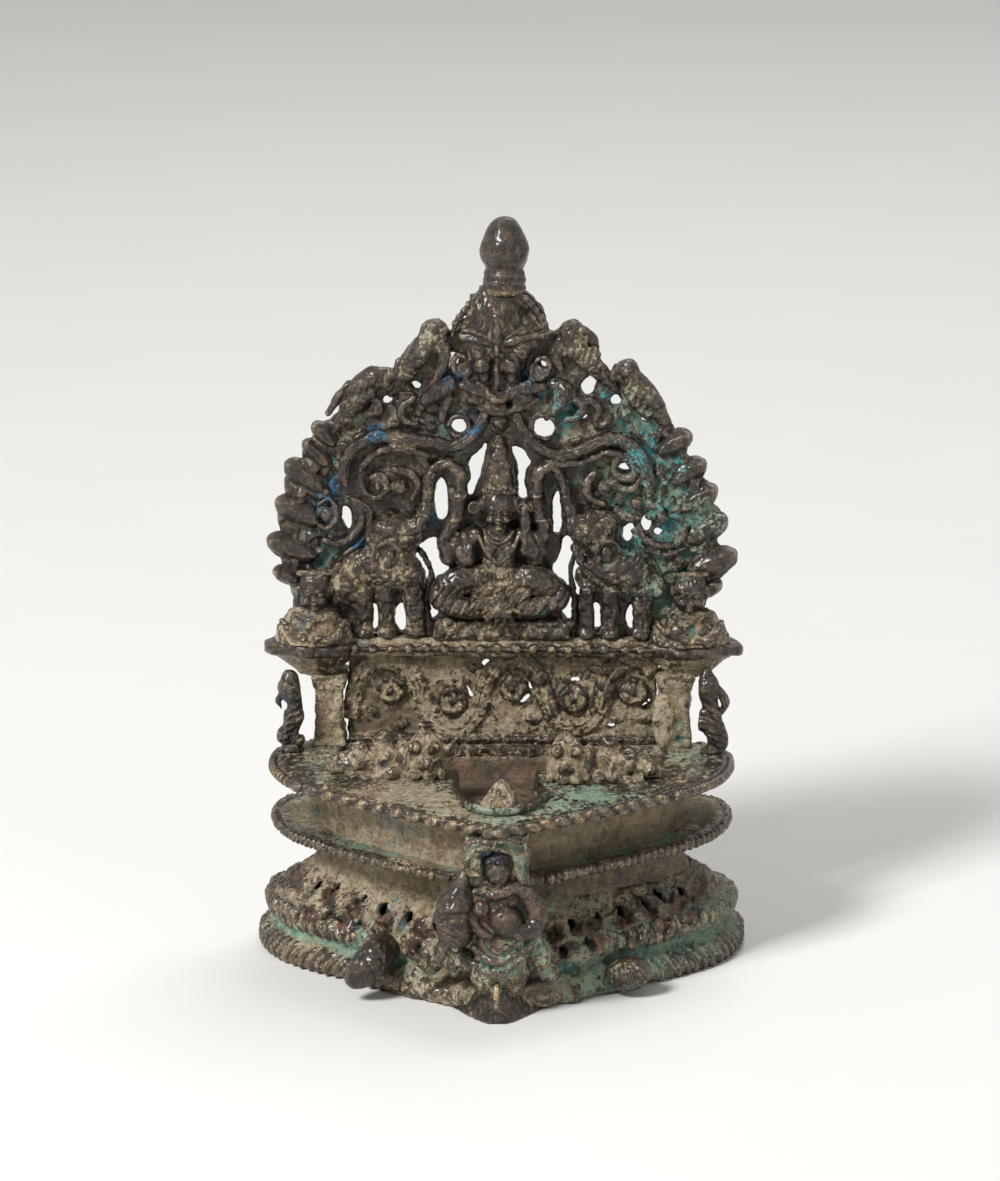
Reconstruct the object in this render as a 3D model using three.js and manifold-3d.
// A cast bronze shrine lamp: a leaf-shaped oil pan on a tortoise-shell foot, with a pierced
// back plate that carries a seated goddess between two elephants under a lion mask.
// Millimetres, +Z up. The front faces -Y, and the origin is under the middle, on the table.
import * as THREE from "three";
import { mergeVertices } from "three/addons/utils/BufferGeometryUtils.js";
import Module from "manifold-3d";

const wasm = await Module();
wasm.setup();

// Driving sizes of the vessel
const SEAT_GAP = 0.25; // between an edge and the rope that is laid round it
const SOFT_GAP = 0.3; // between two rounded pieces that meet
const PLAN_STEPS = 32; // points round a plan outline
const MITRE = 1.3; // how much faster the pointed front draws in than the sides do
const FOOT = { halfWidth: 51, front: -32.6, back: 36, height: 18.8, wall: 2.8 };
const WAIST = { halfWidth: 39.5, height: 7.2, wall: 3, hollow: 1.2 };
const SAUCER = { halfWidth: 46.8, front: -33.6, thick: 2.2, lift: 0.6, overlap: 3.5 };
const BOWL = { halfWidth: 38, front: -26.5, height: 10, wall: 2.5, flare: 1.6, ceiling: 3.2 };
const LEDGE = { halfWidth: 47.2, front: -34.2, back: 30.4, thick: 2.6 };
const WELL = { halfWidth: 33.5, front: 8.5, back: 25, corner: 5, depth: 7 };
const CHANNEL = { halfWidth: 6.2, nose: -19, depth: 1.8, lip: 0.9 };
const ROPE = { reach: 1.6, rise: 1.25, pinch: 0.72, ledgeBeads: 30, saucerBeads: 30 };
const PIERCING = { radius: 1.15, count: 16, lowRow: 11.6, highRow: 14.6, rear: 28 };
const WEB = { front: -29.5, halfWidth: 2.4 }; // the rib that joins the supporter to the vessel

// Driving sizes of the back plate and what stands on it
const PLATE = { front: 27.5, thick: 2.8 };
const THRONE = { height: 3.2, depth: 4.6, beadRadius: 1.15, beads: 17, sillBeadRadius: 0.9, sillBeads: 15 };
const ROUNDEL = { radius: 3.5, pitch: 12.7, shift: 2.1, rise: 1.2, thick: 1.5, count: 5 };
const PANEL_MARGIN = 1.3; // bare metal between the last roundel and the panel's end
const roundelReach = ROUNDEL.shift + ((ROUNDEL.count - 1) / 2) * ROUNDEL.pitch + ROUNDEL.radius;
const PANEL = { halfWidth: roundelReach + PANEL_MARGIN, height: 18.2, sill: 1.8 };
const VINE = { width: 3.6, thick: 1.1, swing: 4.6 };
const POST = { gap: 0.6, width: 6.6, front: 24.4, depth: 9, height: 15.6, plinth: 1.8 };
const POST_X = PANEL.halfWidth + POST.gap + POST.width / 2;
const BEARER = { beyond: 2.8, height: 10.6 }; // how far outside its post a bearer sits
const PARROT = { beyond: 7.8, front: 22 }; // how far outside its post a parrot perches
const TOE = { x: 26.6, left: 13.2, right: 16.2, leftSize: 9.4, rightSize: 6.4 };
const DISH = { halfWidth: 7, spout: 14.2, heel: 9.2, depth: 7, well: 1.6, rim: 2.2, turn: 80 };

// Heights that follow from the stack
const WAIST_FOOT = FOOT.height;
const SAUCER_FOOT = WAIST_FOOT + WAIST.height;
const BOWL_FOOT = SAUCER_FOOT + SAUCER.thick;
const LEDGE_FOOT = BOWL_FOOT + BOWL.height;
const LEDGE_TOP = LEDGE_FOOT + LEDGE.thick;
const PANEL_FOOT = LEDGE_TOP + PANEL.sill;
const THRONE_FOOT = PANEL_FOOT + PANEL.height;
const ARCH_FOOT = THRONE_FOOT + THRONE.height;
const DISH_FOOT = LEDGE_TOP + POST.height;
const DISH_TOP = DISH_FOOT + DISH.depth;

const FAR = 400; // longer than the whole lamp, for half-space cutters
const BRONZE = { color: 0x4a3f36, roughness: 0.55, metalness: 0.85 };
const CRUSTED = { color: 0x8a7a5c, roughness: 0.85, metalness: 0.35 };
const GREEN = { color: 0x5f8f82, roughness: 0.8, metalness: 0.3 };

const at = (x, y, z) => new THREE.Vector3(x, y, z);

// Shape helpers

// A closed skin over a row of rings with equal point counts: a loop of rings, or capped ends.
function skin(rings, loop = false) {
  const count = rings[0].length;
  const rows = rings.length;
  const points = rings.flat();
  const faces = [];
  for (let i = 0; i < (loop ? rows : rows - 1); i++) {
    const next = (i + 1) % rows;
    for (let j = 0; j < count; j++) {
      const k = (j + 1) % count;
      faces.push(i * count + j, i * count + k, next * count + k);
      faces.push(i * count + j, next * count + k, next * count + j);
    }
  }
  if (!loop) {
    for (const row of [0, rows - 1]) {
      const middle = at(0, 0, 0);
      rings[row].forEach((p) => middle.add(p));
      const hub = points.push(middle.divideScalar(count)) - 1;
      for (let j = 0; j < count; j++) {
        const a = row * count + j;
        const b = row * count + ((j + 1) % count);
        faces.push(...(row === 0 ? [hub, b, a] : [hub, a, b]));
      }
    }
  }
  const geometry = new THREE.BufferGeometry().setFromPoints(points);
  geometry.setIndex(faces);
  return geometry;
}

// Six times the signed volume of an indexed geometry: negative when its faces point inwards.
function signedVolume(geometry) {
  const { position } = geometry.attributes;
  const corner = (i) => new THREE.Vector3().fromBufferAttribute(position, geometry.index.getX(i));
  let sum = 0;
  for (let i = 0; i < geometry.index.count; i += 3) {
    sum += corner(i).dot(corner(i + 1).cross(corner(i + 2)));
  }
  return sum;
}

// A three.js geometry as a manifold solid with its faces pointing out.
function solid(geometry) {
  const bare = geometry.clone();
  bare.deleteAttribute("normal");
  bare.deleteAttribute("uv");
  const merged = mergeVertices(bare, 1e-4);
  const turned = signedVolume(merged) < 0;
  const triangles = [];
  const index = merged.index.array;
  for (let i = 0; i < index.length; i += 3) {
    const [a, b, c] = [index[i], index[i + 1], index[i + 2]];
    if (a !== b && b !== c && c !== a) triangles.push(...(turned ? [a, c, b] : [a, b, c]));
  }
  return new wasm.Manifold(
    new wasm.Mesh({
      numProp: 3,
      vertProperties: merged.attributes.position.array,
      triVerts: new Uint32Array(triangles),
    }),
  );
}

// A manifold solid as a three.js geometry with flat-shaded normals.
function geometryOf(body) {
  const mesh = body.getMesh();
  const geometry = new THREE.BufferGeometry();
  geometry.setAttribute("position", new THREE.BufferAttribute(mesh.vertProperties, 3));
  geometry.setIndex(new THREE.BufferAttribute(mesh.triVerts, 1));
  geometry.computeVertexNormals();
  return geometry;
}

// The largest connected piece of a body: a cut can leave crumbs behind.
function largest(body) {
  const parts = body.decompose();
  return parts.sort((a, b) => b.volume() - a.volume())[0];
}

const join = (...bodies) => bodies.flat(3).reduce((all, body) => all.add(body));

function ball(centre, radii, turn = [0, 0, 0], steps = 8) {
  const geometry = new THREE.SphereGeometry(1, steps, Math.max(3, Math.round(steps / 2)));
  geometry.rotateX(Math.PI / 2).scale(...radii);
  geometry.rotateX(turn[0]).rotateY(turn[1]).rotateZ(turn[2]);
  return solid(geometry.translate(centre.x, centre.y, centre.z));
}

function block(low, high) {
  const size = high.clone().sub(low);
  const geometry = new THREE.BoxGeometry(size.x, size.y, size.z);
  const centre = low.clone().add(high).divideScalar(2);
  return solid(geometry.translate(centre.x, centre.y, centre.z));
}

// Keeps what lies between low and high along one axis.
function keep(body, axis, low, high) {
  const a = at(-FAR, -FAR, -FAR);
  const b = at(FAR, FAR, FAR);
  a[axis] = low;
  b[axis] = high;
  return body.intersect(block(a, b));
}

// A round bar through the points, its radius running from the first to the last value given.
function bar(points, radii, sides = 7, steps = 4, flatten = 1) {
  const path = new THREE.CatmullRomCurve3(points, false, "centripetal");
  const count = points.length === 2 ? 1 : steps * (points.length - 1);
  const rings = [];
  for (let i = 0; i <= count; i++) {
    const t = i / count;
    const place = t * (radii.length - 1);
    const low = Math.min(radii.length - 2, Math.floor(place));
    const radius = THREE.MathUtils.lerp(radii[low], radii[low + 1], place - low);
    const middle = path.getPoint(t);
    const along = path.getTangent(t);
    const out = at(0, -1, 0);
    if (Math.abs(along.y) > 0.95) out.set(1, 0, 0);
    const side = new THREE.Vector3().crossVectors(along, out).normalize();
    const rise = new THREE.Vector3().crossVectors(side, along).normalize();
    const ring = [];
    for (let j = 0; j < sides; j++) {
      const angle = (2 * Math.PI * j) / sides;
      ring.push(
        middle
          .clone()
          .addScaledVector(side, radius * Math.cos(angle))
          .addScaledVector(rise, radius * flatten * Math.sin(angle)),
      );
    }
    rings.push(ring);
  }
  return solid(skin(rings));
}

// Takes each neighbour away from a body, with a small gap left all round.
function clearOf(body, ...others) {
  const g = SOFT_GAP;
  const steps = [
    [g, 0, 0],
    [-g, 0, 0],
    [0, 0, g],
    [0, 0, -g],
  ];
  let left = body;
  for (const other of others) {
    for (const step of steps) left = left.subtract(other.translate(step));
  }
  return largest(left);
}

// Relief work: the pieces joined, then cut flat at the face of the plate, which is at y = 0.
const relief = (...bodies) => keep(join(...bodies), "y", -FAR, 0);

// A flat shape in the plate's plane, from y = front to y = back.
function slab(shape, front, back, curveSteps = 6) {
  const geometry = new THREE.ExtrudeGeometry(shape, {
    depth: back - front,
    bevelEnabled: false,
    curveSegments: curveSteps,
  });
  return solid(geometry.rotateX(Math.PI / 2).translate(0, back, 0));
}

// The leaf-shaped plan: a pointed front, shoulders, and a straight back with round corners.
function plan({ halfWidth: w, front, back }) {
  const d = back - front;
  const outline = new THREE.Path();
  outline.moveTo(0, front);
  outline.quadraticCurveTo(0.45 * w, front + 0.215 * d, 0.8 * w, front + 0.455 * d);
  outline.quadraticCurveTo(0.985 * w, front + 0.58 * d, w, front + 0.78 * d);
  outline.quadraticCurveTo(w, back, 0.76 * w, back);
  outline.lineTo(-0.76 * w, back);
  outline.quadraticCurveTo(-w, back, -w, front + 0.78 * d);
  outline.quadraticCurveTo(-0.985 * w, front + 0.58 * d, -0.8 * w, front + 0.455 * d);
  outline.quadraticCurveTo(-0.45 * w, front + 0.215 * d, 0, front);
  return outline;
}

// The same plan drawn in by an inset all round.
const inset = ({ halfWidth, front, back }, by) => ({
  halfWidth: halfWidth - by,
  front: front + MITRE * by,
  back: back - by,
});

// One ring of points round a plan at a height.
function planRing(size, z, steps = PLAN_STEPS) {
  return plan(size)
    .getSpacedPoints(steps)
    .slice(0, steps)
    .map((p) => at(p.x, p.y, z));
}

// A wall that follows the plan, from a profile of [inset, height] points.
const planWall = (size, profile, loop, steps = PLAN_STEPS) =>
  solid(skin(profile.map(([by, z]) => planRing(inset(size, by), z, steps)), loop));

// A rope of beads laid round a plan, flat against its edge.
function planRope(size, beads, z) {
  const outline = plan(size);
  const rings = [];
  for (let i = 0; i < 2 * beads; i++) {
    const t = i / (2 * beads);
    const p = outline.getPointAt(t);
    const ahead = outline.getPointAt((t + 0.002) % 1);
    const behind = outline.getPointAt((t + 0.998) % 1);
    const out = new THREE.Vector2(ahead.y - behind.y, behind.x - ahead.x).normalize();
    const swell = i % 2 ? ROPE.pinch : 1;
    const section = [
      [0, -1],
      [0.9, -0.6],
      [0.9, 0.6],
      [0, 1],
    ];
    rings.push(
      section.map(([across, up]) => {
        const reach = SEAT_GAP + ROPE.reach * swell * across;
        return at(p.x + out.x * reach, p.y + out.y * reach, z + ROPE.rise * swell * up);
      }),
    );
  }
  return solid(skin(rings, true));
}

// A turned piece from its [radius, height] profile.
function turned(profile, sides) {
  const points = profile.map(([r, z]) => new THREE.Vector2(r, z));
  return solid(new THREE.LatheGeometry(points, sides).rotateX(Math.PI / 2));
}

// A straight row of beads along X, flat at y = 0 behind.
function beadRow(halfLength, radius, beads) {
  const rings = [];
  for (let i = 0; i <= 2 * beads; i++) {
    const x = -halfLength + (halfLength * i) / beads;
    const r = radius * (i % 2 ? 1 : 0.62);
    const section = [
      [0, -1],
      [-1, -0.6],
      [-1, 0.6],
      [0, 1],
    ];
    rings.push(section.map(([y, z]) => at(x, y * r, z * r)));
  }
  return solid(skin(rings));
}

// The vessel

const waistPlan = inset(FOOT, FOOT.halfWidth - WAIST.halfWidth);
const saucerPlan = { halfWidth: SAUCER.halfWidth, front: SAUCER.front, back: FOOT.back - 3.2 };
const bowlPlan = { halfWidth: BOWL.halfWidth, front: BOWL.front, back: LEDGE.back - 2.4 };
const ledgePlan = { halfWidth: LEDGE.halfWidth, front: LEDGE.front, back: LEDGE.back };

// The hollow flared foot: two rolls under a pierced slope, like a tortoise's shell.
function footSkirt(grow = 0) {
  const slope = FOOT.halfWidth - WAIST.halfWidth;
  const h = FOOT.height;
  const t = FOOT.wall;
  const outside = [
    [1, 0],
    [0, 0.13 * h],
    [2.3, 0.35 * h],
    [2.2, 0.47 * h],
    [3.6, 0.57 * h],
    [0.73 * slope, 0.86 * h],
    [slope, h],
  ];
  const inside = [
    [slope + t, h],
    [3.4 + t, 0.5 * h],
    [1 + t, 0],
  ];
  const raised = outside.map(([by, z]) => [by - grow, z]);
  return planWall(FOOT, [...raised, ...inside], true);
}

function piercedSkirt() {
  let body = footSkirt();
  const outline = plan(FOOT);
  for (const [row, z] of [PIERCING.lowRow, PIERCING.highRow].entries()) {
    for (let i = 0; i < PIERCING.count; i++) {
      const t = (i + 0.75 + 0.5 * row) / PIERCING.count;
      const p = outline.getPointAt(t % 1);
      const q = outline.getPointAt((t + 0.004) % 1);
      if (p.y > PIERCING.rear || (Math.abs(p.x) < 9 && p.y < 0)) continue;
      const drill = new THREE.CylinderGeometry(PIERCING.radius, PIERCING.radius, 30, 4);
      drill.scale(1.25, 1, 0.9).rotateZ(Math.atan2(q.x - p.x, q.y - p.y) * -1 + Math.PI / 2);
      body = body.subtract(solid(drill.translate(p.x, p.y, z)));
    }
  }
  return body;
}

function waist(grow = 0) {
  const { height: h, wall: t, hollow } = WAIST;
  const z = WAIST_FOOT;
  return planWall(
    waistPlan,
    [
      [-grow, z],
      [hollow - grow, z + 0.4 * h],
      [0.3 * hollow - grow, z + h],
      [t, z + h],
      [t + hollow, z + 0.5 * h],
      [t, z],
    ],
    true,
  );
}

// The saucer and its rope stop behind the supporter, which takes their pointed front.
function saucer() {
  const { thick, lift, overlap } = SAUCER;
  const inner = SAUCER.halfWidth - WAIST.halfWidth + overlap;
  const z = SAUCER_FOOT;
  const whole = planWall(
    saucerPlan,
    [
      [0, z + lift],
      [0, z + thick + lift],
      [4, z + thick],
      [inner, z + thick],
      [inner, z],
      [4, z],
    ],
    true,
  );
  return keep(whole, "y", WEB.front, FAR);
}

const saucerRope = () =>
  keep(planRope(saucerPlan, ROPE.saucerBeads, SAUCER_FOOT + 1.7), "y", WEB.front + SOFT_GAP, FAR);

// The oil well: a broad trough in front of the back plate.
function wellShape(grow = 0) {
  const { halfWidth, front, back, corner } = WELL;
  const w = halfWidth + grow;
  const shape = new THREE.Shape();
  shape.moveTo(-w + corner, front);
  shape.lineTo(w - corner, front);
  shape.quadraticCurveTo(w, front, w, front + corner);
  shape.lineTo(w, back);
  shape.lineTo(-w, back);
  shape.lineTo(-w, front + corner);
  shape.quadraticCurveTo(-w, front, -w + corner, front);
  return shape;
}

function wellPrism(low, high) {
  const geometry = new THREE.ExtrudeGeometry(wellShape(), {
    depth: high - low,
    bevelEnabled: false,
    curveSegments: 4,
  });
  return solid(geometry.translate(0, 0, low));
}

function bowl() {
  const { height: h, wall: t, flare, ceiling } = BOWL;
  const z = BOWL_FOOT;
  const body = planWall(
    bowlPlan,
    [
      [t, z + ceiling - 0.6],
      [t, z],
      [0, z],
      [-0.3 * flare, z + 0.5 * h],
      [-flare, z + h],
    ],
    false,
  );
  return body.subtract(wellPrism(LEDGE_TOP - WELL.depth, LEDGE_TOP));
}

// The wide ledge round the oil well, with a shallow wick channel towards the pointed front.
function ledge() {
  const rings = [planRing(ledgePlan, LEDGE_FOOT), planRing(ledgePlan, LEDGE_TOP)];
  const floor = LEDGE_TOP - CHANNEL.depth;
  const drill = new THREE.CylinderGeometry(CHANNEL.halfWidth, CHANNEL.halfWidth, 4, 14);
  const nose = solid(drill.rotateX(Math.PI / 2).translate(0, CHANNEL.nose, floor + 2));
  const run = block(
    at(-CHANNEL.halfWidth, CHANNEL.nose - 0.01, floor),
    at(CHANNEL.halfWidth, WELL.front + 1, floor + 4),
  );
  const through = wellPrism(LEDGE_FOOT - 1, LEDGE_TOP + 1);
  return solid(skin(rings)).subtract(through).subtract(nose).subtract(run);
}

// The moulding that borders the wick channel, standing on the ledge.
function channelLip() {
  const r = CHANNEL.halfWidth + CHANNEL.lip + 0.2;
  const nose = CHANNEL.nose;
  const lift = 0.3 * CHANNEL.lip;
  const points = [at(-r - 1.4, nose + 8, lift)];
  for (let i = 0; i <= 8; i++) {
    const a = Math.PI + (Math.PI * i) / 8;
    points.push(at(r * Math.cos(a), nose + r * Math.sin(a), lift));
  }
  points.push(at(r + 2.4, nose + 8, lift));
  return keep(bar(points, [CHANNEL.lip, CHANNEL.lip], 6, 1), "z", 0, FAR);
}

// The stub that the wick leans on.
function wickStub() {
  const profile = [
    [0, 0],
    [3, 0],
    [2.7, 1.6],
    [1.6, 4.6],
    [0.9, 5.5],
    [0, 5.8],
  ];
  return turned(profile, 10);
}

// A lying bull on the ledge, its head raised. Its body runs outwards from the head.
function bull(side) {
  const p = (x, y, z) => at(side * x, y, z);
  const head = [
    ball(p(0, 0, 4.9), [4.7, 4, 5.2], [0, 0, 0], 8),
    ball(p(-0.6, 0, 10), [1.7, 1.6, 1.8], [0, 0, 0], 5),
    ball(p(-1.9, -3.1, 6.4), [1.4, 1.2, 1.5], [0, 0, 0], 5),
    ball(p(2, -3.1, 6.4), [1.4, 1.2, 1.5], [0, 0, 0], 5),
    bar([p(-3.2, 0, 5.6), p(-6, -0.6, 8)], [1.5, 0.6], 5, 1),
  ];
  const body = [
    ball(p(9.4, 1.6, 3.4), [6.6, 3.6, 4.2], [0, 0, 0], 8),
    ball(p(9, 2.6, 7.2), [2.3, 2.2, 2.2], [0, 0, 0], 5),
    ball(p(15.6, 1.4, 2.2), [4.2, 3.2, 3.2], [0, 0, 0], 6),
  ];
  const hooves = bar([p(-3, -2.6, 0.8), p(2, -3.4, 0.8), p(7.6, -1.4, 0.8)], [1.5, 1.7, 1.8], 5, 2);
  return largest(keep(join(head, body, hooves), "z", 0, FAR));
}

// The blunt keel under the pointed front, like a tortoise's head.
function keel() {
  const rings = [
    [-26, 7.8, 9.6],
    [-30, 7.2, 8.6],
    [-33, 4.6, 6.2],
    [-35, 1.6, 2.6],
  ].map(([y, half, top]) => [
    at(-half, y, 0),
    at(-half * 0.9, y, top * 0.5),
    at(-half * 0.2, y, top),
    at(half * 0.2, y, top),
    at(half * 0.9, y, top * 0.5),
    at(half, y, 0),
  ]);
  const whole = solid(skin(rings)).subtract(footSkirt(SOFT_GAP));
  return largest(keep(whole, "y", -FAR, -27));
}

// An almond-shaped toe that lies against the skirt.
const toe = (x, y, lean, size) => {
  const body = ball(at(x, y, 0.55 * size), [0.62 * size, 0.62 * size, size], [0.45, lean, 0], 10);
  return largest(keep(body.subtract(footSkirt(SOFT_GAP)), "z", 0, FAR));
};

// The rib under the spout, between the supporter and the vessel
function web() {
  const { front, halfWidth: w } = WEB;
  const low = block(at(-w, front, 9.2), at(w, -12, SAUCER_FOOT));
  return largest(low.subtract(footSkirt(SEAT_GAP)).subtract(waist(SEAT_GAP)));
}

// The block under the pan's lip, on top of the supporter's head
const lipBlock = () =>
  clearOf(block(at(-6.6, -31.6, LEDGE_FOOT - 4), at(6.6, BOWL.front + 1, LEDGE_FOOT)), bowl());

// The supporter under the spout: a small crouching figure with folded arms, flat behind.
const SUPPORTER = { foot: 9.6, neck: 28, top: LEDGE_FOOT - 4 };

const supporterPiece = (low, high, ...bodies) =>
  keep(keep(join(...bodies), "y", -FAR, WEB.front), "z", low, high);

function supporterBody() {
  const p = (x, y, z) => at(x, WEB.front + y, z);
  const arms = [
    bar([p(-5, 0, 24.6), p(-5.4, -2.6, 20.6), p(-1, -5, 19)], [1.8, 1.6, 1.4], 5, 1),
    bar([p(5.4, 0, 24.6), p(6.6, -2.4, 20.6), p(2, -5.4, 20.4)], [2, 1.8, 1.5], 5, 1),
  ];
  const skirt = [0, 1, 2].map((i) => {
    const half = 5.6 - 0.5 * i;
    const z = 10.4 + 2.5 * i;
    return bar([p(-half, 0, z + 1.6), p(0, -4.6 + 0.4 * i, z), p(half, 0, z + 1.6)], [1.3, 1.7, 1.3], 5, 1);
  });
  const whole = supporterPiece(
    SUPPORTER.foot,
    SUPPORTER.neck,
    bar([p(0, 0, 8), p(0, -1, 15), p(0, -1.4, 22), p(0, 0, 29)], [5, 4.8, 5.6, 3.4], 8, 1, 0.8),
    ball(p(-3, -3, 24), [2.8, 2.6, 2.9], [0, 0, 0], 6),
    ball(p(3.2, -3, 24), [2.8, 2.6, 2.9], [0, 0, 0], 6),
    ball(p(0.4, -3.6, 20.4), [3.2, 2.4, 3], [0, 0, 0], 6),
    arms,
    skirt,
  );
  return keep(whole, "x", -BELL_SIDE, FAR);
}
const BELL_SIDE = 6; // where the bell meets the supporter's side

function supporterHead() {
  const p = (x, y, z) => at(x, WEB.front + y, z);
  return supporterPiece(
    SUPPORTER.neck,
    SUPPORTER.top,
    ball(p(0, -2.4, 30.6), [3.2, 3.4, 4.4], [0, 0, 0], 9),
    ball(p(0, -0.6, 32.4), [4.2, 3, 3.4], [0, 0, 0], 8),
  );
}

// The ribbed bell that hangs at the supporter's right hand
function bell() {
  const profile = [
    [0, 0],
    [2.2, 0.2],
    [3.6, 1.6],
    [4.1, 4.4],
    [3.9, 6.6],
    [3, 8.8],
    [2.7, 11],
    [1.6, 14],
    [0.7, 16],
    [0, 16.4],
  ];
  return keep(keep(turned(profile, 10), "x", -FAR, 9.6 - BELL_SIDE), "y", -FAR, 2.3);
}

// The back plate's lower panel

const roundelX = (i) => ROUNDEL.shift + (i - (ROUNDEL.count - 1) / 2) * ROUNDEL.pitch;
const roundelRise = (i) => (i % 2 ? -ROUNDEL.rise : ROUNDEL.rise);
// An oval post along Y in the plate's plane, from y = front to y = back
function ovalPost(x, z, rx, rz, turn, sides, front, back) {
  const geometry = new THREE.CylinderGeometry(1, 1, back - front, sides);
  geometry.scale(rx, 1, rz).rotateY(turn);
  return solid(geometry.translate(x, (front + back) / 2, z));
}
const cutThrough = (x, z, rx, rz, turn = 0, sides = 5) =>
  ovalPost(x, z, rx, rz, turn, sides, -5, PLATE.thick + 5);

function panel() {
  const { halfWidth: w, height: h } = PANEL;
  let body = block(at(-w, 0, 0), at(w, PLATE.thick, h));
  for (let i = 0; i < ROUNDEL.count; i++) {
    const under = i % 2 ? 1 : -1;
    const cx = roundelX(i) + 2.7;
    const cz = h / 2 + roundelRise(i) + under * 2.9;
    if (cx < w - 2.5) body = body.subtract(cutThrough(cx, cz, 2, 1.3, under * 0.7));
    const gapX = roundelX(i) - ROUNDEL.pitch / 2;
    const gapZ = h / 2 + under * (0.5 * h - 2.8);
    if (gapX > 3 - w) body = body.subtract(cutThrough(gapX, gapZ, 1.7, 1.3));
  }
  return body;
}

// A scrolling vine that passes over and under the roundels in turn
function vine() {
  const reach = PANEL.halfWidth - 0.8;
  const shape = new THREE.Shape();
  const wave = (x) => -VINE.swing * Math.cos((Math.PI * (x - ROUNDEL.shift)) / ROUNDEL.pitch);
  const steps = 30;
  const along = (k) => -reach + (2 * reach * k) / steps;
  shape.moveTo(along(0), wave(along(0)) + VINE.width / 2);
  for (let k = 1; k <= steps; k++) shape.lineTo(along(k), wave(along(k)) + VINE.width / 2);
  for (let k = steps; k >= 0; k--) shape.lineTo(along(k), wave(along(k)) - VINE.width / 2);
  const band = slab(shape, -VINE.thick, 0);
  return clearOf(band, ...Array.from({ length: ROUNDEL.count }, (_, i) => roundelAt(i)));
}

const roundel = () =>
  relief(ball(at(0, 0, 0), [ROUNDEL.radius, ROUNDEL.thick, ROUNDEL.radius], [0, 0, 0], 9));
const roundelAt = (i) =>
  relief(
    ball(at(roundelX(i), 0, roundelRise(i)), [ROUNDEL.radius, 3, ROUNDEL.radius], [0, 0, 0], 9),
  );

// The pierced arch

// Half of the arch's outline, from its foot to its crown: [half width, height over the throne]
const ARCH = [
  [44, 0],
  [45, 5],
  [43, 9],
  [44.4, 14],
  [43.4, 22],
  [41, 30],
  [37.4, 38],
  [34.2, 44.6],
  [30.6, 50],
  [25, 53],
  [16, 60],
  [9.6, 64.5],
  [8.6, 67],
  [5.4, 73.4],
];
const CROWN = 73.4;
// Half of the opening round the goddess, from its foot to its crown
const OPENING = [
  [15.4, -1],
  [15.6, 3],
  [17.6, 9],
  [18, 18.2],
  [14.2, 22.8],
  [13.6, 32.6],
  [8.6, 38],
  [4.4, 41.6],
  [2.8, 44.4],
];
const OPENING_TOP = 45.6;
const LEAVES = [
  { x: 46.6, z: 17.4, size: 4.1, lean: 0.1 },
  { x: 44.8, z: 25, size: 4, lean: 0.3 },
  { x: 42.2, z: 31.6, size: 3.9, lean: 0.5 },
  { x: 39, z: 37.2, size: 3.7, lean: 0.7 },
  { x: 36.2, z: 42.6, size: 3.2, lean: 0.9 },
];
// Piercings of the arch on each side: [x, height, half width, half height, turn]
const ARCH_HOLES = [
  [9.9, 58.2, 1.3, 2.1, 0],
  [17.2, 50.6, 1.3, 2.2, 0.3],
  [23.4, 48.6, 1.1, 1.4, 0],
  [9.6, 45, 1.8, 1.8, 0],
  [33, 27.4, 1.2, 2.6, 0.2],
  [21.4, 4.4, 0.8, 2.6, 0],
  [26.6, 4.4, 0.8, 2.6, 0],
  [22, 38.3, 4.6, 1.2, -0.12],
];
const BIRDS = [
  { x: 14.3, z: 64.6, head: 3.1, bodyX: 18, bodyZ: 59.6, tailX: 22.6, tailZ: 53.4, thick: 2.7 },
  { x: 27, z: 56, head: 2.6, bodyX: 29.4, bodyZ: 52, tailX: 33.8, tailZ: 45.6, thick: 2.8 },
];

function mirroredShape(half, top) {
  const shape = new THREE.Shape();
  shape.moveTo(...half[0]);
  half.slice(1).forEach(([x, z]) => shape.lineTo(x, z));
  shape.lineTo(0, top);
  [...half].reverse().forEach(([x, z]) => shape.lineTo(-x, z));
  shape.closePath();
  return shape;
}

// A round ear on the plate behind a piece that overhangs the arch's outline
const ear = (x, z, rx, rz) => ovalPost(x, z, rx, rz, 0, 7, 0, PLATE.thick);

function archPlate() {
  let body = slab(mirroredShape(ARCH, CROWN), 0, PLATE.thick);
  for (const side of [-1, 1]) {
    for (const { x, z, size } of LEAVES) {
      body = body.add(ear(side * x, z, 0.9 * size, 0.72 * size));
    }
    for (const { x, z, head, bodyX, bodyZ, thick } of BIRDS) {
      body = body.add(ear(side * x, z, 0.9 * head, 0.9 * head));
      body = body.add(ear(side * bodyX, bodyZ, thick, thick));
      body = body.add(ear((side * (x + bodyX)) / 2, (z + bodyZ) / 2, 0.9 * thick, 0.9 * thick));
    }
    for (const [x, z, rx, rz, turn] of ARCH_HOLES) {
      body = body.subtract(cutThrough(side * x, z, rx, rz, side * turn));
    }
  }
  return body.subtract(slab(mirroredShape(OPENING, OPENING_TOP), -5, PLATE.thick + 5));
}

// Relief on the arch. Each piece leaves a small gap round the pieces named before it.

// The lion mask under the finial
const MASK_FOOT = 51;

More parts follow.
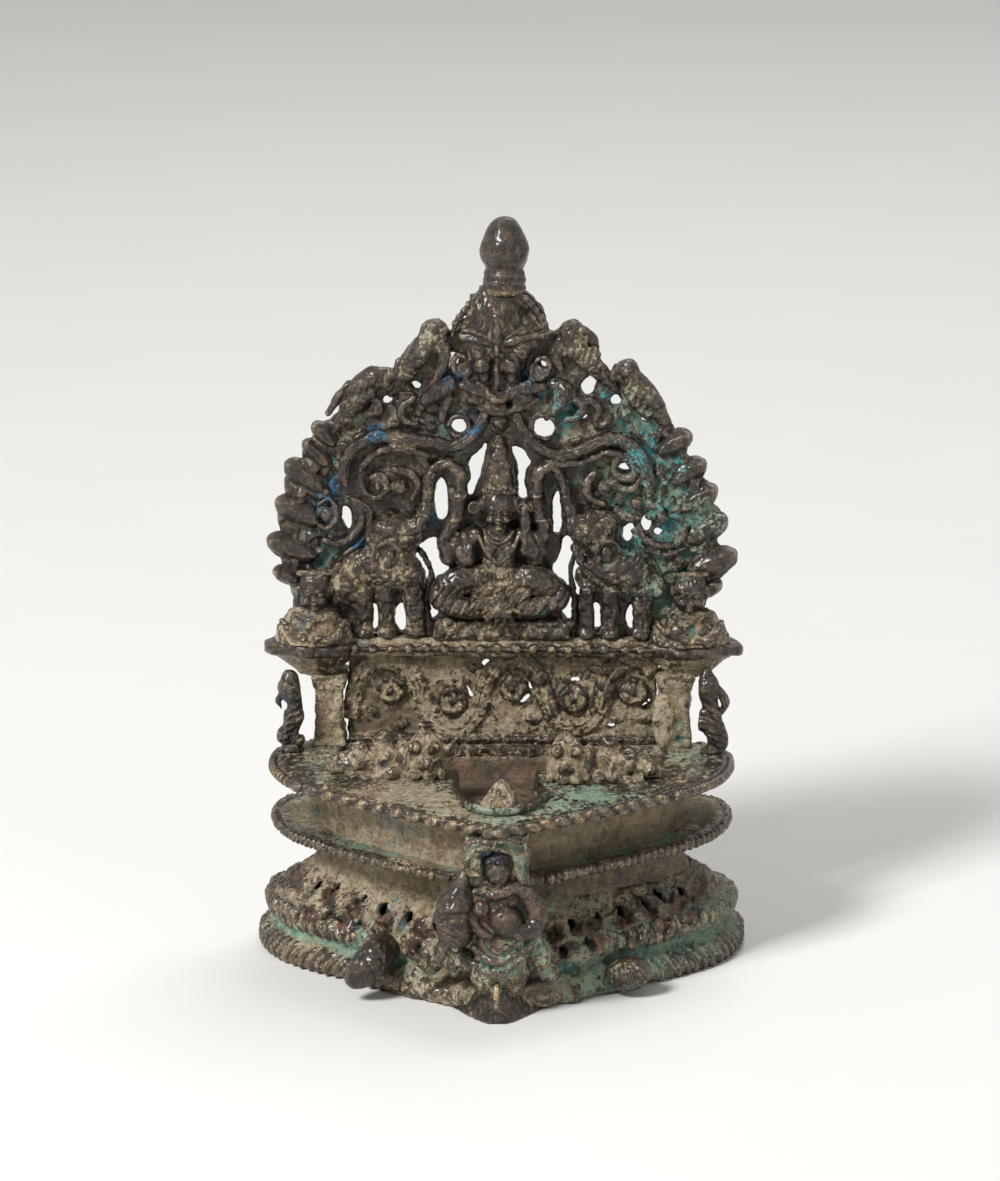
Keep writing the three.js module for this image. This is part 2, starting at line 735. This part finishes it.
function lionMask() {
  const pair = (x, y, z, radii, turn = 0, steps = 6) => [
    ball(at(-x, y, z), radii, [0, -turn, 0], steps),
    ball(at(x, y, z), radii, [0, turn, 0], steps),
  ];
  return relief(
    ball(at(0, 0, 66.4), [7.6, 3.8, 6.6], [0, 0, 0], 9),
    ball(at(0, -0.6, 58.6), [8.2, 3.4, 7.4], [0, 0, 0], 9),
    bar([at(0, -3, 68.5), at(0, -4.2, 63), at(0, -4.6, 59.4)], [0.8, 1.5, 1.3], 5, 1),
    pair(4.3, -3.3, 61.4, [2.3, 1.8, 1.6], 0.15, 6),
    pair(2.9, -3.6, 56.8, [1.6, 1.4, 1.9], 0, 5),
    bar([at(-7.6, -1.4, 54.8), at(-3.6, -2.4, 53), at(0, -3, 52)], [1.1, 1.4, 1.4], 6, 1),
    bar([at(7.6, -1.4, 54.8), at(3.6, -2.4, 53), at(0, -3, 52)], [1.1, 1.4, 1.4], 6, 1),
  );
}

// A perched bird: round head, full body and a long tail down the arch.
function bird({ x, z, head, bodyX, bodyZ, tailX, tailZ, thick }, side) {
  const p = (px, y, pz) => at(side * px, y, pz);
  const whole = relief(
    ball(p(x, -0.6, z), [head, head * 0.95, head], [0, 0, 0], 7),
    ball(p(bodyX, -0.8, bodyZ), [thick, thick * 0.95, thick], [0, 0, 0], 7),
    bar([p(x, -0.6, z), p(bodyX, -0.8, bodyZ), p(tailX, -0.5, tailZ)], [head * 0.7, thick, 1], 6, 1, 0.8),
  );
  return whole;
}

// A row of flame leaves down the arch's border, on a common stalk
function leafRow(side) {
  const blades = LEAVES.map(({ x, z, size, lean }) =>
    ball(at(side * x, 0, z), [size, 0.45 * size, 0.82 * size], [0, -side * lean * 0.4, 0], 7),
  );
  const stalk = LEAVES.map(({ x, z }) => at(side * (x - 3), -0.2, z - 0.6));
  return relief(blades, bar(stalk, [1.6, 1.3], 5, 1));
}

// The scrolled body and the head of a sea beast: it leaves the crown, sweeps over the elephant
// and curls under. [x, height over the throne]
const SCROLL = [
  [3.6, 48.8],
  [5.6, 45.2],
  [10, 41.6],
  [16, 41],
  [22.4, 43.2],
  [28.4, 41.6],
  [32.2, 37.4],
  [33.6, 32.4],
  [37, 29],
];
const SCROLL_RADII = [1.4, 2, 2.2, 2.2, 2.1, 1.8, 1.5, 1.4, 1.2];

function seaBeast(side) {
  const p = (x, y, z) => at(side * x, y, z);
  return relief(
    bar(SCROLL.map(([x, z]) => p(x, -0.5, z)), SCROLL_RADII, 5, 2, 0.95),
    ball(p(14.4, -0.8, 50), [3, 2.6, 3], [0, 0, 0], 7),
    bar([p(13.6, -0.9, 49), p(12.6, -0.8, 45), p(13.4, -0.6, 41)], [2.2, 1.6, 1.2], 5, 1),
    bar([p(15.4, -0.9, 51), p(19.6, -0.8, 47), p(21.4, -0.6, 43)], [1.6, 1.4, 1.2], 5, 1),
  );
}

// One elephant in profile, its trunk raised towards the goddess
const TRUNK = [
  [19.4, 24],
  [16.6, 27],
  [15.8, 31.4],
  [14.6, 35],
  [12, 37],
  [9.2, 36.2],
];

function elephant(side) {
  const p = (x, y, z) => at(side * x, y, z);
  const whole = relief(
    ball(p(24.2, -0.6, 15), [6.6, 3.6, 6.6], [0, side * 0.25, 0], 8),
    bar([p(19.8, -1.4, 12), p(18.7, -1.4, -0.5)], [2.3, 2.1], 4, 1),
    bar([p(24.4, -1.4, 11), p(24, -1.4, -0.5)], [2.1, 2], 4, 1),
    bar([p(28.8, -0.8, 13), p(29.2, -0.8, -0.5)], [2.2, 2], 4, 1),
    ball(p(21.2, -1.4, 23.6), [3.9, 3.2, 3.4], [0, side * 0.4, 0], 7),
    ball(p(24.4, -1.6, 19.6), [2.3, 2.4, 3.4], [0, side * 0.2, 0], 6),
    bar(TRUNK.map(([x, z]) => p(x, -1.2, z)), [2.4, 2, 1.7, 1.6], 6, 1),
  );
  return keep(whole, "z", 0, FAR);
}

// The goddess, in the opening of the arch and a little proud of it
const GODDESS = {
  seat: 3.6,
  lap: 14,
  neck: 23.2,
  brow: 32.4,
  crown: 43.6,
  back: 2,
  shoulder: 4.5,
  hand: 34.2,
};

const figure = (low, high, ...bodies) =>
  keep(keep(join(...bodies), "y", -FAR, GODDESS.back), "z", low, high);

// The lotus that she sits on
const lotusSeat = () =>
  figure(
    0,
    GODDESS.seat,
    ball(at(0, -0.6, 1.6), [14.2, 3.9, 3.4], [0, 0, 0], 12),
  );

const goddessLap = () =>
  figure(
    GODDESS.seat,
    GODDESS.lap,
    ball(at(-8.9, -1.4, 9), [5.7, 4, 3.9], [0, 0.25, 0], 8),
    ball(at(8.9, -1.4, 9), [5.7, 4, 3.9], [0, -0.25, 0], 8),
    bar([at(-9.5, -2.8, 6.8), at(0, -4.2, 5), at(6, -3.6, 6.8)], [2.3, 2, 1.6], 6, 1),
    bar([at(9.5, -2.8, 6.8), at(2, -3.4, 5)], [2.3, 2], 6, 1),
    ball(at(0, -0.8, 10), [6, 3.4, 5.4], [0, 0, 0], 8),
  );

const goddessTorso = () =>
  figure(
    GODDESS.lap,
    GODDESS.neck,
    bar([at(0, -0.8, 12), at(0, -1, 17), at(0, -1, 20.6), at(0, -0.4, 24)], [3.6, 3.1, 4.4, 2.4], 8, 1),
    ball(at(-2.1, -3.4, 20.2), [2, 1.8, 2], [0, 0, 0], 7),
    ball(at(2.1, -3.4, 20.2), [2, 1.8, 2], [0, 0, 0], 7),
  );

const goddessHead = () =>
  figure(
    GODDESS.neck,
    GODDESS.brow,
    ball(at(0, -1.6, 28.2), [3.6, 3.2, 4.6], [0, 0, 0], 10),
    bar([at(0, -0.8, 22), at(0, -1, 27)], [2.2, 2.4], 8, 1),
    ball(at(-3.9, 0, 27.6), [1.5, 1.3, 2.3], [0, 0, 0], 6),
    ball(at(3.9, 0, 27.6), [1.5, 1.3, 2.3], [0, 0, 0], 6),
  );

const goddessCrown = () =>
  figure(
    GODDESS.brow,
    GODDESS.crown,
    bar([at(0, -0.9, 31), at(0, -0.9, 35), at(0, -0.4, 39), at(0, 0, 44.6)], [4, 3.4, 2.4, 1.4], 9, 1),
  );

// An arm bent up at the elbow; the hand holds a lotus stem up to the trunk's tip.
function goddessArm(side) {
  const p = (x, y, z) => at(side * x, y, z);
  const whole = join(
    bar([p(3.4, -0.8, 21.4), p(6.6, -1.2, 18.8), p(9.6, -1.6, 17)], [2.2, 2, 2.1], 6, 1),
    ball(p(10, -1.8, 18), [2.7, 2.4, 2.9], [0, 0, 0], 7),
    bar([p(10, -1.4, 17), p(9.8, -1.2, 25), p(8.6, -1.2, 31), p(8, -1, 34.6)], [2.2, 2, 1.8, 2], 6, 1),
  );
  const reach = GODDESS.shoulder;
  const half = side > 0 ? keep(whole, "x", reach, FAR) : keep(whole, "x", -FAR, -reach);
  return keep(keep(half, "y", -FAR, GODDESS.back), "z", GODDESS.lap, GODDESS.hand);
}

function finial() {
  const profile = [
    [0, 0],
    [4.7, 0],
    [5.1, 0.9],
    [4.4, 1.9],
    [4.9, 2.9],
    [4.1, 3.9],
    [3.9, 4.8],
    [4.9, 7],
    [5.35, 9],
    [5, 11],
    [3.6, 13.8],
    [1.6, 15.6],
    [0, 16],
  ];
  return turned(profile, 11);
}

// The lamp bearers at the sides

function post() {
  const w = POST.width / 2;
  const { plinth, height, depth } = POST;
  const ring = (half, front, z) => [
    at(-half, front, z),
    at(half, front, z),
    at(half, depth, z),
    at(-half, depth, z),
  ];
  const shaft = solid(skin([ring(w + 0.3, 0.2, plinth), ring(w - 0.2, 0.5, height)]));
  return shaft.add(block(at(-w - 0.5, -0.7, 0), at(w + 0.5, depth, plinth)));
}

// A leaf-shaped oil cup on a tapering stem; its spout points to local -Y.
function dish() {
  const { depth: h, rim, well } = DISH;
  const rings = [
    [0.4, 0],
    [0.88, h - rim],
    [1, h - 0.6 * rim],
    [0.98, h],
    [0.8, h],
    [0.7, h - well],
  ].map(([scale, z]) => {
    const size = { halfWidth: DISH.halfWidth, front: -DISH.spout, back: DISH.heel };
    return planRing(size, z, 18).map((q) => at(q.x * scale, q.y * scale, z));
  });
  return solid(skin(rings));
}

// The bearer's shoulders and arms, above the cup; the back is flat against the arch.
function bearerTorso(side) {
  const p = (x, y, z) => at(side * x, y, z);
  return relief(
    bar([p(0, -3, -2), p(0, -3, 3), p(0, -2.6, 6), p(0, -2, 8.4)], [6, 5.6, 4, 2.4], 8, 1, 0.75),
    bar([p(3, -3, 5.6), p(6, -3.6, 2), p(7.6, -4, -1)], [2, 1.8, 1.6], 5, 1),
    bar([p(-3, -3, 5.6), p(-6, -3.6, 2), p(-7.6, -4, -1)], [2, 1.8, 1.6], 5, 1),
  );
}

const bearerHeadLocal = () =>
  relief(
    ball(at(0, -2.6, 0), [3.1, 3.2, 4.7], [0, 0, 0], 10),
    ball(at(0, -1.2, 2.6), [4.2, 2.4, 3.2], [0, 0, 0], 8),
  );
const HEAD_SPOT = { x: POST_X + BEARER.beyond, z: BEARER.height };
const bearerHead = (side) => bearerHeadLocal().translate([side * HEAD_SPOT.x, 0, HEAD_SPOT.z]);

// A parrot that braces the cup from the ledge, head down and tail up
function parrot(side) {
  const p = (x, y, z) => at(side * x, y, z);
  const path = [p(2, 0.6, 0), p(1.4, 0.2, 3), p(0.3, 0, 8), p(0.6, 0, 12), p(-1, 0.4, 17)];
  const body = join(
    bar(path, [1.5, 1.9, 2.1, 1.6, 1.7], 7, 2),
    ball(p(-1.2, -1.8, 4), [1.9, 1.8, 2], [0, 0, 0], 7),
  );
  return keep(body, "z", 0, FAR);
}

// Assembly

const lamp = new THREE.Group();

function group(x, y, z, parent = lamp) {
  const made = new THREE.Group();
  made.position.set(x, y, z);
  parent.add(made);
  return made;
}

function node(parent, name, body, finish, place = [0, 0, 0]) {
  const mesh = new THREE.Mesh(geometryOf(body), new THREE.MeshStandardMaterial(finish));
  mesh.name = name;
  mesh.position.set(...place);
  parent.add(mesh);
}

const SIDES = [
  [-1, "left"],
  [1, "right"],
];

node(lamp, "foot_skirt", piercedSkirt(), CRUSTED);
node(lamp, "waist_wall", waist(), CRUSTED);
node(lamp, "saucer", saucer(), GREEN);
node(lamp, "saucer_rope", saucerRope(), BRONZE);
node(lamp, "oil_bowl", bowl(), CRUSTED);
node(lamp, "pan_ledge", ledge(), GREEN);
node(lamp, "pan_rope", planRope(ledgePlan, ROPE.ledgeBeads, LEDGE_FOOT + LEDGE.thick / 2), BRONZE);
node(lamp, "channel_lip", channelLip(), GREEN, [0, 0, LEDGE_TOP]);
node(lamp, "wick_stub", wickStub(), CRUSTED, [0.6, -13, LEDGE_TOP - CHANNEL.depth]);
node(lamp, "front_keel", keel(), BRONZE);
node(lamp, "toe_left", toe(-TOE.x, FOOT.front + TOE.left, 0.6, TOE.leftSize), BRONZE);
node(lamp, "toe_right", toe(TOE.x, FOOT.front + TOE.right, -0.5, TOE.rightSize), BRONZE);
node(lamp, "spout_web", web(), CRUSTED);
node(lamp, "lip_block", lipBlock(), CRUSTED);
node(lamp, "supporter_body", supporterBody(), BRONZE);
node(lamp, "supporter_head", supporterHead(), BRONZE);
node(lamp, "supporter_bell", bell(), BRONZE, [-9.6, -31.9, 15.4]);
node(lamp, "bull_left", bull(-1), CRUSTED, [-15.4, 3.4, LEDGE_TOP]);
node(lamp, "bull_right", bull(1), CRUSTED, [13.6, 1, LEDGE_TOP]);

const back = group(0, PLATE.front, 0);
const sillFront = -0.8;
const sill = block(
  at(-PANEL.halfWidth, sillFront, LEDGE_TOP),
  at(PANEL.halfWidth, PLATE.thick, PANEL_FOOT),
);
node(back, "panel_sill", sill, BRONZE);
const beadsOf = (radius, beads) => beadRow(PANEL.halfWidth - 0.4, radius, beads);
node(back, "sill_beads", beadsOf(THRONE.sillBeadRadius, THRONE.sillBeads), BRONZE, [0, sillFront, LEDGE_TOP + 0.9]);
node(back, "scroll_panel", panel(), CRUSTED, [0, 0, PANEL_FOOT]);
const middle = PANEL_FOOT + PANEL.height / 2;
node(back, "panel_vine", vine(), CRUSTED, [0, 0, middle]);
for (let i = 0; i < ROUNDEL.count; i++) {
  node(back, `roundel_${i + 1}`, roundel(), BRONZE, [roundelX(i), 0, middle + roundelRise(i)]);
}
const throne = block(
  at(-PANEL.halfWidth, -THRONE.depth, 0),
  at(PANEL.halfWidth, PLATE.thick, THRONE.height),
);
node(back, "throne_step", throne, CRUSTED, [0, 0, THRONE_FOOT]);
const throneBeads = beadsOf(THRONE.beadRadius, THRONE.beads);
node(back, "throne_beads", throneBeads, BRONZE, [0, -THRONE.depth, THRONE_FOOT + 1.5]);

const arch = group(0, PLATE.front, ARCH_FOOT);
node(arch, "arch_plate", archPlate(), BRONZE);
node(arch, "lion_mask", lionMask(), BRONZE);
node(arch, "finial", finial(), BRONZE, [0.4, PLATE.thick / 2 - 1, CROWN]);
node(arch, "lotus_seat", lotusSeat(), BRONZE);
node(arch, "goddess_lap", goddessLap(), BRONZE);
node(arch, "goddess_torso", goddessTorso(), BRONZE);
node(arch, "goddess_head", goddessHead(), BRONZE);
node(arch, "goddess_crown", goddessCrown(), BRONZE);
for (const [side, word] of SIDES) {
  node(arch, `goddess_arm_${word}`, goddessArm(side), BRONZE);
  node(arch, `elephant_${word}`, elephant(side), BRONZE);
  node(arch, `sea_beast_${word}`, seaBeast(side), BRONZE);
  node(arch, `upper_bird_${word}`, bird(BIRDS[0], side), BRONZE);
  node(arch, `lower_bird_${word}`, bird(BIRDS[1], side), BRONZE);
  node(arch, `flame_leaves_${word}`, leafRow(side), BRONZE);
  node(arch, `bearer_head_${word}`, bearerHeadLocal(), BRONZE, [side * HEAD_SPOT.x, 0, HEAD_SPOT.z]);
}

const throneRoom = PANEL.halfWidth + SOFT_GAP;
const throneBlock = block(
  at(-throneRoom, PLATE.front - THRONE.depth - 1.2 * THRONE.beadRadius - SOFT_GAP, PANEL_FOOT),
  at(throneRoom, FAR, ARCH_FOOT),
);

function cup(side) {
  const turnedCup = dish().rotate([0, 0, side * DISH.turn]);
  const placed = turnedCup.translate([side * POST_X, POST.front + 2.6, DISH_FOOT]);
  return placed.subtract(throneBlock);
}

for (const [side, word] of SIDES) {
  node(lamp, `post_${word}`, post(), CRUSTED, [side * POST_X, POST.front, LEDGE_TOP]);
  node(lamp, `oil_cup_${word}`, cup(side), BRONZE);
  const placed = bearerTorso(side).translate([side * HEAD_SPOT.x, PLATE.front, ARCH_FOOT]);
  const sitting = keep(placed, "z", DISH_TOP, ARCH_FOOT + 5.8);
  node(lamp, `bearer_torso_${word}`, sitting.subtract(throneBlock), CRUSTED);
  node(lamp, `parrot_${word}`, parrot(side), BRONZE, [side * (POST_X + PARROT.beyond), PARROT.front, LEDGE_TOP]);
}

export default lamp;
